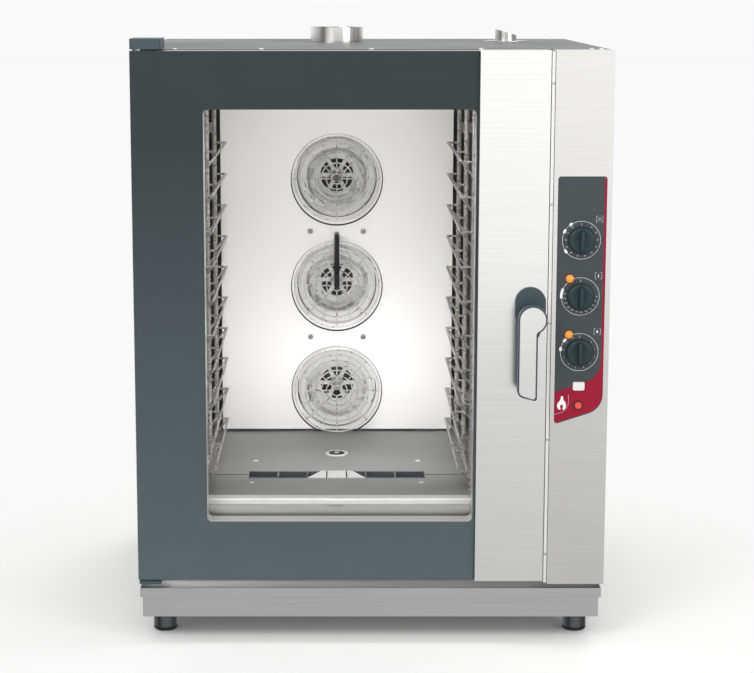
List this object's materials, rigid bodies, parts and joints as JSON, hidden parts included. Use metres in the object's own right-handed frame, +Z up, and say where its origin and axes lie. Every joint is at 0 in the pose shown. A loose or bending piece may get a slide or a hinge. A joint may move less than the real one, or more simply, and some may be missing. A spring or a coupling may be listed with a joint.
{
  "type": "combi steamer oven",
  "caption": "Gas combi steamer oven with a glazed side-hinged door and lever latch, a control column with knobs, fans behind wire guards, tray racks, a roof flue and a steam vent.",
  "frame": {"origin": "on the floor under the middle of the whole outline, handle and pipe ends included", "axes": "+Z up, -Y out of the door, +X towards the control column"},
  "size_m": [0.93, 0.9126, 1.208],
  "materials": {
    "casing_steel": "brushed, satin",
    "cavity_steel": "bright, lightly brushed",
    "wire_chrome": "bright drawn wire",
    "galvanised_steel": "dull zinc",
    "tinted_glass": "polished",
    "clear_glass": "polished",
    "slate_print": "ceramic print behind glass",
    "seal_rubber": "matte",
    "dark_plastic": "fine satin",
    "overlay_film": "satin printed film",
    "orange_lens": "translucent lens",
    "white_plastic": "smooth",
    "red_plastic": "smooth",
    "cast_metal": "painted casting",
    "brass": "plated",
    "mineral_wool": "loose fibre"
  },
  "bodies": {
    "cabinet": {"adjustable_feet": "cavity_steel", "base_plinth": "casing_steel", "cable_gland": "dark_plastic", "cavity_ceiling": "cavity_steel", "cavity_floor": "cavity_steel", "cavity_left_wall": "cavity_steel", "cavity_rear_wall": "cavity_steel", "cavity_right_wall": "cavity_steel", "column_front": "casing_steel", "control_overlay": "overlay_film", "door_gasket": "seal_rubber", "drain_pipe": "cavity_steel", "drain_strainer": "cavity_steel", "drip_gutter": "casing_steel", "fan_guard_bottom": "wire_chrome", "fan_guard_middle": "wire_chrome", "fan_guard_top": "wire_chrome", "fan_motors": "cast_metal", "fan_panel": "cavity_steel", "floor_grille": "cavity_steel", "flue_pipe": "galvanised_steel", "foot_pads": "seal_rubber", "front_frame": "casing_steel", "gas_train": "cast_metal", "heat_exchanger": "galvanised_steel", "hinge_brackets": "dark_plastic", "humidifier_pipe": "galvanised_steel", "indicator_lamps": "orange_lens", "insulation": "mineral_wool", "latch_keeper": "galvanised_steel", "left_side_panel": "casing_steel", "rack_left": "wire_chrome", "rack_pegs": "cavity_steel", "rack_right": "wire_chrome", "rear_cover": "casing_steel", "reset_bezel": "dark_plastic", "right_side_panel": "casing_steel", "switch_bodies": "dark_plastic", "top_cover": "casing_steel", "vent_outlet": "cavity_steel", "water_inlets": "brass"},
    "door": {"door_outer_glass": "tinted_glass", "glass_print": "slate_print", "door_steel_strip": "casing_steel", "door_frame": "casing_steel", "door_inner_glass": "clear_glass", "glass_clips": "cavity_steel", "hinge_pins": "cavity_steel", "handle_rosette": "dark_plastic"},
    "handle": {"handle_lever": "dark_plastic", "handle_cover": "casing_steel", "latch_spindle": "cavity_steel"},
    "timer_knob": {"timer_knob": "dark_plastic"},
    "temperature_knob": {"temperature_knob": "dark_plastic"},
    "humidity_knob": {"humidity_knob": "dark_plastic"},
    "push_key": {"push_key": "white_plastic"},
    "reset_button": {"reset_button": "red_plastic"},
    "fan_bottom": {"fan_wheel_bottom": "cavity_steel"},
    "fan_middle": {"fan_wheel_middle": "cavity_steel"},
    "fan_top": {"fan_wheel_top": "cavity_steel"}
  },
  "joints": [
    {"name": "door_hinge", "type": "hinge", "parent": "cabinet", "child": "door", "pos_m": [-0.449, -0.37475, 0.125], "axis": [0, 0, 1], "range_deg": [-115, 0]},
    {"name": "handle_turn", "type": "hinge", "parent": "door", "child": "handle", "pos_m": [0.31, -0.39875, 0.664], "axis": [0, 1, 0], "range_deg": [0, 90]},
    {"name": "timer_knob_turn", "type": "hinge", "parent": "cabinet", "child": "timer_knob", "pos_m": [0.407, -0.39875, 0.812], "axis": [0, 1, 0], "range_deg": [0, 300]},
    {"name": "temperature_knob_turn", "type": "hinge", "parent": "cabinet", "child": "temperature_knob", "pos_m": [0.407, -0.39875, 0.7015], "axis": [0, 1, 0], "range_deg": [0, 270]},
    {"name": "humidity_knob_turn", "type": "hinge", "parent": "cabinet", "child": "humidity_knob", "pos_m": [0.407, -0.39875, 0.591], "axis": [0, 1, 0], "range_deg": [0, 270]},
    {"name": "push_key_press", "type": "slide", "parent": "cabinet", "child": "push_key", "axis": [0, 1, 0], "range_m": [0, 0.0025], "stiffness_N_per_m": 400},
    {"name": "reset_button_press", "type": "slide", "parent": "cabinet", "child": "reset_button", "axis": [0, 1, 0], "range_m": [0, 0.0025], "stiffness_N_per_m": 400},
    {"name": "fan_bottom_spin", "type": "hinge", "parent": "cabinet", "child": "fan_bottom", "pos_m": [-0.068, 0.27275, 0.386], "axis": [0, 1, 0], "continuous": true},
    {"name": "fan_middle_spin", "type": "hinge", "parent": "cabinet", "child": "fan_middle", "pos_m": [-0.068, 0.27275, 0.629], "axis": [0, 1, 0], "continuous": true},
    {"name": "fan_top_spin", "type": "hinge", "parent": "cabinet", "child": "fan_top", "pos_m": [-0.068, 0.27275, 0.872], "axis": [0, 1, 0], "continuous": true}
  ]
}
